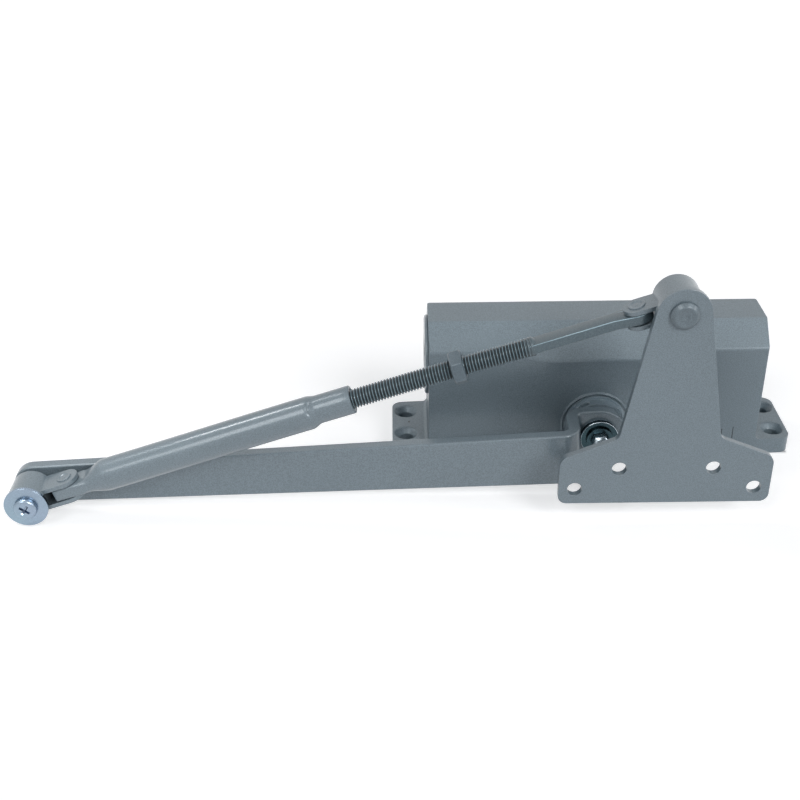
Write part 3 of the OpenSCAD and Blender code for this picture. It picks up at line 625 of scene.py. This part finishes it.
def from_axis(edge, x, z):
    """Nearest and farthest distance of an edge's ends from the axis along y through x, z, in millimetres."""
    far = [math.hypot(vert.co.x / MM - x, vert.co.z / MM - z) for vert in edge.verts]
    return min(far), max(far)


def shoulder_edge(edge):
    """The long edges where the body's sloped shoulders meet its upright front and back."""
    low = spread(edge)[0]
    ups = sorted(abs(face.normal.z) for face in edge.link_faces)
    sideways = abs(edge.link_faces[0].normal.x) < 0.6
    return low.z > SHOULDER_LOW_Z and ups[0] < 0.12 and 0.25 < ups[1] < 0.97 and sideways


def body_outline(edge):
    """The other edges of the body's outside: roof, end faces and feet."""
    low, high = spread(edge)
    if from_axis(edge, 0, SPINDLE_Z)[0] < 17 and high.z < 40:
        return False
    if -BODY_END_X < low.x and high.x < BODY_END_X:
        return low.z > ROOF_LOW_Z and (abs(low.y) > 8.5 or abs(high.y) > 8.5)
    return high.z > 0.5 and not in_hole(edge)


def in_hole(edge):
    """An edge of one of the feet's screw holes."""
    middle = (edge.verts[0].co + edge.verts[1].co) / (2 * MM)
    return math.hypot(abs(middle.x) - FOOT_HOLE_X, abs(middle.y) - FOOT_HOLE_Y) < FOOT_HOLE_R


def body_rim(edge):
    """The raised rims round the spindle, front and back."""
    low, high = spread(edge)
    near, far = from_axis(edge, 0, SPINDLE_Z)
    return 14.0 < near and far < 15.4 and (high.y < -RIM_Y or low.y > RIM_Y) and high.y - low.y < 0.1


def hole_rim(edge):
    """The upper rims of the feet's screw holes."""
    return in_hole(edge) and spread(edge)[1].z > 2.0


def arm_edge(edge):
    """The main arm's outside edges, clear of its two bores."""
    return from_axis(edge, 0, SPINDLE_Z)[0] > 9 and from_axis(edge, ELBOW[0], ELBOW[2])[0] > 6.5


def ring_edge(edge):
    """The outer round edges of the rings about the spindle."""
    low, high = spread(edge)
    near, far = from_axis(edge, 0, SPINDLE_Z)
    return near > 12.0 and far - near < 0.1 and high.y - low.y < 0.05


def fork_edge(barrel_x, pin_x):
    """Picks a fork's outside edges: all but those of its bore and of its pin's holes."""
    inward = forearm_place().inverted()

    def pick(edge):
        for vert in edge.verts:
            x, y, z = inward @ vert.co
            if math.hypot(x - barrel_x, z) < 5.0 or math.hypot(x - pin_x, y) < 2.9:
                return False
        return True
    return pick


def plate_edge(edge):
    """The edges of the bracket plate's front and back faces."""
    low, high = spread(edge)
    return high.y - low.y < 0.05


# Pieces made here in place of plain CAD solids

def forearm_place():
    """From the forearm's own frame, in millimetres (x along it, y back, z up), to the scene."""
    along = Vector((math.cos(FOREARM_ANGLE), 0.0, math.sin(FOREARM_ANGLE)))
    above = Vector((-math.sin(FOREARM_ANGLE), 0.0, math.cos(FOREARM_ANGLE)))
    return Matrix((
        (along.x * MM, 0.0, above.x * MM, ELBOW[0] * MM),
        (0.0, MM, 0.0, ELBOW[1] * MM),
        (along.z * MM, 0.0, above.z * MM, ELBOW[2] * MM),
        (0.0, 0.0, 0.0, 1.0)))


def facing_front(x, y, z):
    """From a frame in millimetres whose z points to the viewer, with its origin at x, y, z, to the scene."""
    return Matrix((
        (MM, 0.0, 0.0, x * MM),
        (0.0, 0.0, -MM, y * MM),
        (0.0, MM, 0.0, z * MM),
        (0.0, 0.0, 0.0, 1.0)))


def add_rings(bm, rings):
    """Joins rings of points, all of one length, into a closed skin with a flat face at each end."""
    made = [[bm.verts.new(point) for point in ring] for ring in rings]
    count = len(made[0])
    for first, second in zip(made, made[1:]):
        for i in range(count):
            j = (i + 1) % count
            bm.faces.new((first[i], first[j], second[j], second[i]))
    bm.faces.new(made[0][::-1])
    bm.faces.new(made[-1])


def turned(bm, profile, place=None, steps=72):
    """Turns a profile of (radius, height) pairs round z."""
    place = place or Matrix.Identity(4)
    rings = []
    for radius, height in profile:
        ring = []
        for i in range(steps):
            angle = 2 * math.pi * i / steps
            ring.append(place @ Vector((radius * math.cos(angle), radius * math.sin(angle), height)))
        rings.append(ring)
    add_rings(bm, rings)


def fillet(centre, radius, start, end, steps):
    """Points of an arc in a turned profile, from the angle start to the angle end, in degrees."""
    points = []
    for i in range(steps + 1):
        angle = math.radians(start + (end - start) * i / steps)
        points.append((centre[0] + radius * math.cos(angle), centre[1] + radius * math.sin(angle)))
    return points


def finish_piece(bm, name, node, place=None, crease=32.0):
    """Turns the bmesh into a scene object that stands for the node."""
    bmesh.ops.recalc_face_normals(bm, faces=bm.faces)
    if place is not None:
        bmesh.ops.transform(bm, matrix=place, verts=bm.verts)
    mesh = bpy.data.meshes.new(name)
    bm.to_mesh(mesh)
    bm.free()
    smooth_all(mesh)
    mesh.set_sharp_from_angle(angle=math.radians(crease))
    return stand_for(link_object(name, mesh), node)


def cut_away(bm, cutter, operation="DIFFERENCE"):
    """The bmesh less the cutter, or what they share, by an exact boolean; both are in one frame."""
    objects = []
    for part in (bm, cutter):
        bmesh.ops.recalc_face_normals(part, faces=part.faces)
        mesh = bpy.data.meshes.new("cut")
        part.to_mesh(mesh)
        part.free()
        objects.append(link_object("cut", mesh))
    body, tool = objects
    modifier = body.modifiers.new("cut", "BOOLEAN")
    modifier.operation = operation
    modifier.solver = "EXACT"
    modifier.object = tool
    bpy.context.view_layer.update()
    result = bmesh.new()
    result.from_mesh(body.evaluated_get(bpy.context.evaluated_depsgraph_get()).to_mesh())
    for obj in objects:
        mesh = obj.data
        bpy.data.objects.remove(obj)
        bpy.data.meshes.remove(mesh)
    return result


def pin_hole(x):
    """A cutter for a rivet's hole along z of the forearm's frame."""
    bm = bmesh.new()
    turned(bm, [(PIN_R, -12.0), (PIN_R, 12.0)], Matrix.Translation((x, 0.0, 0.0)), 48)
    return bm


def join_into(bm, other):
    """Adds the other bmesh to the first as a separate solid, and frees it."""
    spare = bpy.data.meshes.new("spare")
    other.to_mesh(spare)
    other.free()
    bm.from_mesh(spare)
    bpy.data.meshes.remove(spare)


def rounded_ring(x, half_w, half_t, corner, lift, steps=14):
    """A rounded rectangle across the forearm at x; a circle where both halves equal the corner's radius."""
    ring = []
    for quarter, (sy, sz) in enumerate(((1, 1), (-1, 1), (-1, -1), (1, -1))):
        for i in range(steps):
            angle = math.radians(90 * quarter + 90 * (i + 0.5) / steps)
            ring.append((
                x,
                sy * (half_w - corner) + corner * math.cos(angle),
                lift + sz * (half_t - corner) + corner * math.sin(angle)))
    return ring


def ease(t):
    """0 below 0 and 1 above 1, with a smooth turn between."""
    t = min(1.0, max(0.0, t))
    return t * t * (3 - 2 * t)


def tube_section(x):
    """Half width, half thickness, corner radius and rise of the tube's section at x."""
    if x < TUBE_FLAT_END:
        return EYE_W, EYE_T, 1.0, -EYE_DROP
    if x < TUBE_ROUND_X:
        t = ease((x - TUBE_FLAT_END) / 11.0)
        wide = EYE_W + (TUBE_R - EYE_W) * ease((x - TUBE_FLAT_END) / 14.0)
        thick = EYE_T + (TUBE_R - EYE_T) * t
        drop = EYE_DROP + (TUBE_SAG - EYE_DROP) * t
        return wide, thick, min(wide, thick, 1.0 + (TUBE_R - 1.0) * t ** 0.6), -drop
    t = ease((x - SWAGE_X) / SWAGE_L)
    radius = TUBE_R + (NECK_R - TUBE_R) * t
    return radius, radius, radius, NECK_RISE * t - TUBE_SAG * (1 - ease((x - TUBE_ROUND_X) / 80.0))


def make_tube():
    """Forearm tube: pressed flat and cut square at the elbow, swaged to a neck round the rod."""
    opening = (TUBE_ROUND_X - TUBE_FLAT_END) / 20
    along = [20.0] + [TUBE_FLAT_END + opening * i for i in range(21)]
    along += [TUBE_ROUND_X + 4.0 * i for i in range(1, 21)]
    along += [SWAGE_X - 1.0 + 0.25 * i for i in range(27)]
    along += [133.0, 138.0]
    stations = [(TUBE_START, 0.45), (TUBE_START + 0.1, 0.18), (TUBE_START + 0.4, 0.0)]
    stations += [(x, 0.0) for x in along]
    stations += [(TUBE_END - 0.5, 0.0), (TUBE_END - 0.15, 0.12), (TUBE_END, 0.4)]
    rings = []
    for x, inset in stations:
        wide, thick, corner, lift = tube_section(x)
        corner = max(corner - inset, 0.3)
        ring = rounded_ring(x, wide - inset, thick - inset, corner, lift)
        rings.append([swage_fold(point, lift) for point in ring])
    mouth = ((TUBE_END, BORE_R + 0.4), (TUBE_END - 0.2, BORE_R + 0.12), (TUBE_END - 0.6, BORE_R))
    for x, radius in (*mouth, (BORE_END, BORE_R)):
        rings.append(rounded_ring(x, radius, radius, radius, NECK_RISE))
    bm = bmesh.new()
    add_rings(bm, rings)
    bm = cut_away(bm, pin_hole(EYE_X))
    finish_piece(bm, "swaged_tube", "forearm_tube", forearm_place(), 38.0)


def swage_fold(point, lift):
    """Presses the short crease that the swaging leaves on the upper front of the step."""
    x, y, z = point
    angle = math.degrees(math.atan2(z - lift, -y))
    along = x - FOLD_X - abs(angle - FOLD_AT) * FOLD_LEAN
    fade = math.exp(-((angle - FOLD_AT) / FOLD_SPREAD) ** 2)
    depth = FOLD_DEPTH * math.exp(-(along / FOLD_LENGTH) ** 2) * fade
    radius = math.hypot(y, z - lift)
    keep = (radius - depth) / radius
    return x, y * keep, lift + (z - lift) * keep


def thread_depth(phase):
    """How deep the thread is, 0 at its crest to 1 at its root, over one pitch."""
    from_crest = abs(((phase + 0.5) % 1.0) - 0.5) * 2
    return min(1.0, max(0.0, (from_crest - 0.1) / 0.72))


def rod_drop(x):
    """How far the slightly bent rod lies below its straight line at x."""
    return BEND_DROP * ease((x - BEND_X) / BEND_L)


def add_thread(bm):
    """Adds the rod's threaded length, a real helix, and returns how deep the groove is at each point."""
    per_pitch = 12
    around = 36
    depths = []
    rings = []
    count = int((THREAD_END - THREAD_START) / THREAD_PITCH * per_pitch)
    for i in range(count + 1):
        x = THREAD_START + i * THREAD_PITCH / per_pitch
        fade = min(1.0, (THREAD_END - x) / 5.0 + 0.15)
        ring = []
        for j in range(around):
            deep = thread_depth(i / per_pitch + j / around) * fade
            radius = ROD_R - THREAD_DEEP * deep
            angle = 2 * math.pi * j / around
            ring.append((x, radius * math.cos(angle), NECK_RISE - rod_drop(x) + radius * math.sin(angle)))
            depths.append(deep + PLAIN * (1 - fade))
        rings.append(ring)
    add_rings(bm, rings)
    return depths


def flat_bar():
    """The rod's flattened end: a bar with rounded edges that widens into a round eye."""
    start = THREAD_END - 1.5
    neck = ROD_EYE_X - EYE_NECK
    outline = [(start, BAR_HALF), (start, -BAR_HALF), (neck, -BAR_HALF)]
    wrap = 180 - math.degrees(
        math.atan2(BAR_HALF, EYE_NECK) + math.acos(ROD_EYE_R / math.hypot(EYE_NECK, BAR_HALF)))
    for i in range(41):
        angle = math.radians(-wrap + 2 * wrap * i / 40)
        outline.append((ROD_EYE_X + ROD_EYE_R * math.cos(angle), ROD_EYE_R * math.sin(angle)))
    outline.append((neck, BAR_HALF))
    bar = bmesh.new()
    add_rings(bar, [[(x, y, NECK_RISE + height) for x, y in outline] for height in (BAR_LOW, BAR_HIGH)])
    bmesh.ops.recalc_face_normals(bar, faces=bar.faces)
    rims = [edge for edge in bar.edges if abs(edge.verts[0].co.z - edge.verts[1].co.z) < 0.01]
    bmesh.ops.bevel(bar, geom=rims, offset=BAR_EDGE, segments=3, profile=0.5, affect="EDGES")
    return cut_away(bar, pin_hole(ROD_EYE_X))


def make_rod():
    """Screwed rod: a real helix, a short cone, and a flat bar that ends in a round eye."""
    bm = bmesh.new()
    depths = add_thread(bm)
    grooves = len(bm.verts)
    along_x = Matrix.Rotation(math.radians(90), 4, "Y")
    end = THREAD_END
    cone_profile = [(3.4, end - 2), (3.85, end - 0.4), (3.8, end), (3.3, end + 0.7), (1.6, end + 1.8)]
    turned(bm, cone_profile, Matrix.Translation((0.0, 0.0, NECK_RISE - rod_drop(end))) @ along_x, 48)
    cone = len(bm.verts)
    join_into(bm, flat_bar())
    rod = finish_piece(bm, "screwed_rod", "threaded_rod", forearm_place(), 50.0)
    # Painted highlight on the thread's crests and the bar's upper ridge, painted shade in the thread's roots
    shade_of = rod.data.attributes.new("groove", "FLOAT", "POINT")
    for i, deep in enumerate(depths):
        shade_of.data[i].value = deep ** 0.8
    above = Vector((-math.sin(FOREARM_ANGLE), 0.0, math.cos(FOREARM_ANGLE)))
    for i in range(grooves, len(rod.data.vertices)):
        normal = rod.data.vertices[i].normal
        # The bar's upper front ridge gets a painted highlight
        ridge_highlight = i >= cone and -normal.y > 0.35 and normal.dot(above) > 0.35
        shade_of.data[i].value = 0.0 if ridge_highlight else PLAIN


def rivet_head(radius, height, dish):
    """Profile of a pressed rivet head on a flat ear, from the ear up to the dimple in its middle."""
    rim = fillet((radius - 0.3, height - 0.3), 0.3, 0, 90, 4)
    hollow = [(radius - 0.75, height), (radius - 1.0, height - 0.1), (radius - 1.35, height - dish)]
    bowl = [(0.9, height - dish - 0.02), (0.6, height - dish + 0.06), (0.25, height - dish + 0.1)]
    return [(radius, 0.0)] + rim + hollow + bowl


def make_ear_rivet(name, node, x, drop, half, radius):
    """A rivet through a pair of ears, with the same pressed head above and below."""
    bm = bmesh.new()
    for up in (1, -1):
        profile = [(2.5, 0.3 - half), (2.5, -0.05), (radius, -0.05)] + rivet_head(radius, 0.5, 0.35)
        flip = Matrix.Diagonal((1, 1, up, 1))
        turned(bm, profile, Matrix.Translation((x, 0, drop)) @ flip @ Matrix.Translation((0, 0, half)), 64)
    finish_piece(bm, name, node, forearm_place())


def make_bracket_rivet():
    """Pivot rivet of the bracket: a bevelled head with a broad shallow dish and a punch mark."""
    bm = bmesh.new()
    shank = 4.5
    head = [(shank, -3.0), (shank, -0.05), (5.65, -0.05)]
    head += fillet((5.15, 0.75), 0.5, 0, 52, 5)
    head += fillet((3.85, 1.4), 1.0, 52, 90, 6)
    head += [(3.5, 2.38), (3.2, 2.3), (2.9, 2.17), (2.6, 2.1), (1.7, 2.1)]
    head += [(1.4, 2.12), (1.15, 2.04), (0.9, 1.88), (0.5, 1.8), (0.2, 1.79)]
    turned(bm, head, steps=96)
    turned(bm, [(shank, -17.8), (shank, 0.1)], steps=64)
    tail = -17.2
    turned(bm, [(5.2, tail - 1.5), (5.9, tail - 1.2), (6.2, tail - 0.7), (6.2, tail), (shank, tail)])
    place = facing_front(PIVOT[0], BRACKET_FRONT_Y, PIVOT[2])
    rivet = finish_piece(bm, "pivot_rivet", "bracket_rivet", place)
    # Painted shade: the rivet in a darker copy of the paint
    rivet.data.materials[0] = RIVET_PAINT_SHADED


def make_elbow_screw():
    """Pan-head screw with a tapered cross recess."""
    bm = bmesh.new()
    top = SCREW_TOP
    profile = [(2.0, -10.2), (2.0, 0.0), (4.5, 0.0), (4.8, 0.15), (4.8, 0.9)]
    profile += fillet((3.35, 0.95), 1.45, 5, 84, 9)
    profile += [(3.2, top), (0.3, top)]
    turned(bm, profile, steps=80)
    cutter = bmesh.new()
    rings = []
    for height, reach, half in ((top - 1.6, 0.8, 0.28), (top - 0.5, 2.0, 0.48), (top + 0.4, 2.75, 0.62)):
        ring = []
        for k in range(4):
            turn = Matrix.Rotation(math.radians(90 * k + CROSS_TURN), 4, "Z")
            for point in ((reach, -half), (reach, half), (half, half)):
                ring.append(turn @ Vector((point[0], point[1], height)))
        rings.append(ring)
    add_rings(cutter, rings)
    bm = cut_away(bm, cutter)
    place = facing_front(ELBOW[0], SCREW_SEAT_Y, ELBOW[2])
    screw = finish_piece(bm, "pan_screw", "elbow_screw", place, 30.0)
    # The recess faces get the painted shade
    screw.data.materials.append(RECESS_SHADE)
    front, back = SCREW_SEAT_Y - top + 0.12, SCREW_SEAT_Y - 0.8
    for face in screw.data.polygons:
        x, y, z = face.center / MM
        if math.hypot(x - ELBOW[0], z - ELBOW[2]) < 2.5 and front < y < back:
            face.material_index = 1


def hexagon(corner_r, low, high, turn, edge):
    """A hexagonal prism along z with its edges rounded."""
    bm = bmesh.new()
    rings = []
    for height in (low, high):
        rings.append([Vector((corner_r * math.cos(a), corner_r * math.sin(a), height))
                      for a in (math.radians(60 * k + turn) for k in range(6))])
    add_rings(bm, rings)
    bmesh.ops.recalc_face_normals(bm, faces=bm.faces)
    bmesh.ops.bevel(bm, geom=list(bm.edges), offset=edge, segments=3, profile=0.5, affect="EDGES")
    return bm


def make_nut():
    """Hexagon lock nut, chamfered on both faces, with a flat on the front that leans up a little."""
    bm = hexagon(NUT_FLATS / math.sqrt(3), -NUT_HALF, NUT_HALF, NUT_TURN, 0.55)
    lens = bmesh.new()
    half_lens = [(7.6, 1.4), (6.3, NUT_HALF), (5.3, NUT_HALF + 0.4)]
    turned(lens, [(radius, -height) for radius, height in half_lens[::-1]] + half_lens, steps=96)
    bm = cut_away(bm, lens, "INTERSECT")
    hole = bmesh.new()
    rim = NUT_BORE_R + 0.52
    turned(hole, [(rim, -3.0), (NUT_BORE_R, -2.2), (NUT_BORE_R, 2.2), (rim, 3.0)], steps=64)
    bm = cut_away(bm, hole)
    along_x = Matrix.Rotation(math.radians(90), 4, "Y")
    place = forearm_place() @ Matrix.Translation((NUT_X, 0.0, NECK_RISE)) @ along_x
    nut = finish_piece(bm, "lock_nut_hex", "lock_nut", place, 24.0)
    nut.data.materials[0] = NUT_PAINT


def make_spring():
    """The closing spring, which the piston presses together towards the right plug: a copy of its CAD solid
    with a mesh of its own.
    """
    spring = link_object("closing_spring", frame["nodes"]["return_spring"].data.copy())
    stand_for(spring, "return_spring")
    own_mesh(spring)


def make_spindle_bolt():
    """Small hexagon bolt on a flat neck, with a chamfered and slightly crowned head."""
    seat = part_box("arm_bolt")[0][1] / MM + BOLT_T
    bm = bmesh.new()
    turned(bm, [(3.0, -8.0), (3.0, 0.0)], steps=40)
    head = hexagon(BOLT_R, 0.0, BOLT_T, BOLT_TURN, 0.2)
    bowl = bmesh.new()
    turned(bowl, [(BOLT_R + 1, -1.0), (BOLT_R + 1, BOLT_T - 2.0), (BOLT_R - 0.1, BOLT_T - 1.3),
                  (BOLT_R * 0.66, BOLT_T - 0.05), (BOLT_R * 0.5, BOLT_T + 0.2)])
    join_into(bm, cut_away(head, bowl, "INTERSECT"))
    bolt = finish_piece(bm, "hex_bolt", "arm_bolt", facing_front(0, seat, SPINDLE_Z), 25.0)
    # Painted light: the bolt's head in the lighter zinc
    bolt.data.materials[0] = ZINC_PAINTED_BRIGHT


# The scene: camera, light, refined solids, then the pieces made here
put_camera()
set_world()
make_floor()
soft_sun("key_right", (-0.48, 0.64, -0.58), 1.4, 24.0)
soft_sun("key_left", (0.42, 0.62, -0.66), 0.7, 26.0)
soft_sun("side_right", (-0.85, 0.3, -0.35), 0.25, 12.0)
soft_light("over_elbow", (-0.33, -0.01, 0.4), (-0.222, -0.06, 0.02), 0.12, 0.02, cone=30.0)
soft_sun("back_left", (0.561, -0.247, -0.793), 0.3, 8.0)

refined("housing", "cast_housing", rounds=(
    (shoulder_edge, 1.0, 4), (body_outline, 0.35, 3), (body_rim, 0.45, 3), (hole_rim, 0.2, 2)), merge=0.3)
refined("main_arm", "joggled_arm", rounds=((arm_edge, 0.85, 4),))
refined("bracket_plate", "frame_bracket", rounds=((plate_edge, 0.4, 3),))
refined("elbow_knuckle", "elbow_fork", rounds=((fork_edge(0.0, EYE_X), 0.45, 3),), look=FORK_PAINT_SHADED)
refined("bracket_knuckle", "bracket_fork", rounds=((fork_edge(FOREARM_L, ROD_EYE_X), 0.45, 3),))
make_nut()
# Painted light: the front retainer in a lighter copy of the paint
refined("bearing_retainer_front", "front_retainer", rounds=((ring_edge, 0.4, 3),), look=RING_PAINT_LIT)
refined("bearing_retainer_rear", "rear_retainer", rounds=((ring_edge, 0.4, 3),))
refined("end_plug_left", "left_plug", 0.3)
refined("end_plug_right", "right_plug", 0.3)
# Painted dark reflection on the spindle's washers
washer = refined("arm_washer", "spindle_washer", 0.25, look=ZINC_PAINTED_DARK)
# Painted highlight: the washer's bevelled rims in the lighter zinc
washer.data.materials.append(ZINC_PAINTED_BRIGHT)
washer.modifiers["edges"].material = 1
refined("arm_lock_washer", "spindle_lock_washer", 0.12, look=ZINC_PAINTED_DARK)
refined("elbow_washer", "elbow_plate_washer", 0.2)
refined("spindle_cap", "rear_cap", 0.4)
make_spindle_bolt()
make_spring()
make_tube()
make_rod()
make_ear_rivet("elbow_ear_rivet", "elbow_rivet", EYE_X, -EYE_DROP, ELBOW_EARS_HALF, 3.1)
make_ear_rivet("bracket_ear_rivet", "rod_rivet", ROD_EYE_X, 0.0, BRACKET_EARS_HALF, 3.4)
make_bracket_rivet()
make_elbow_screw()

scene.view_settings.view_transform = "Standard"
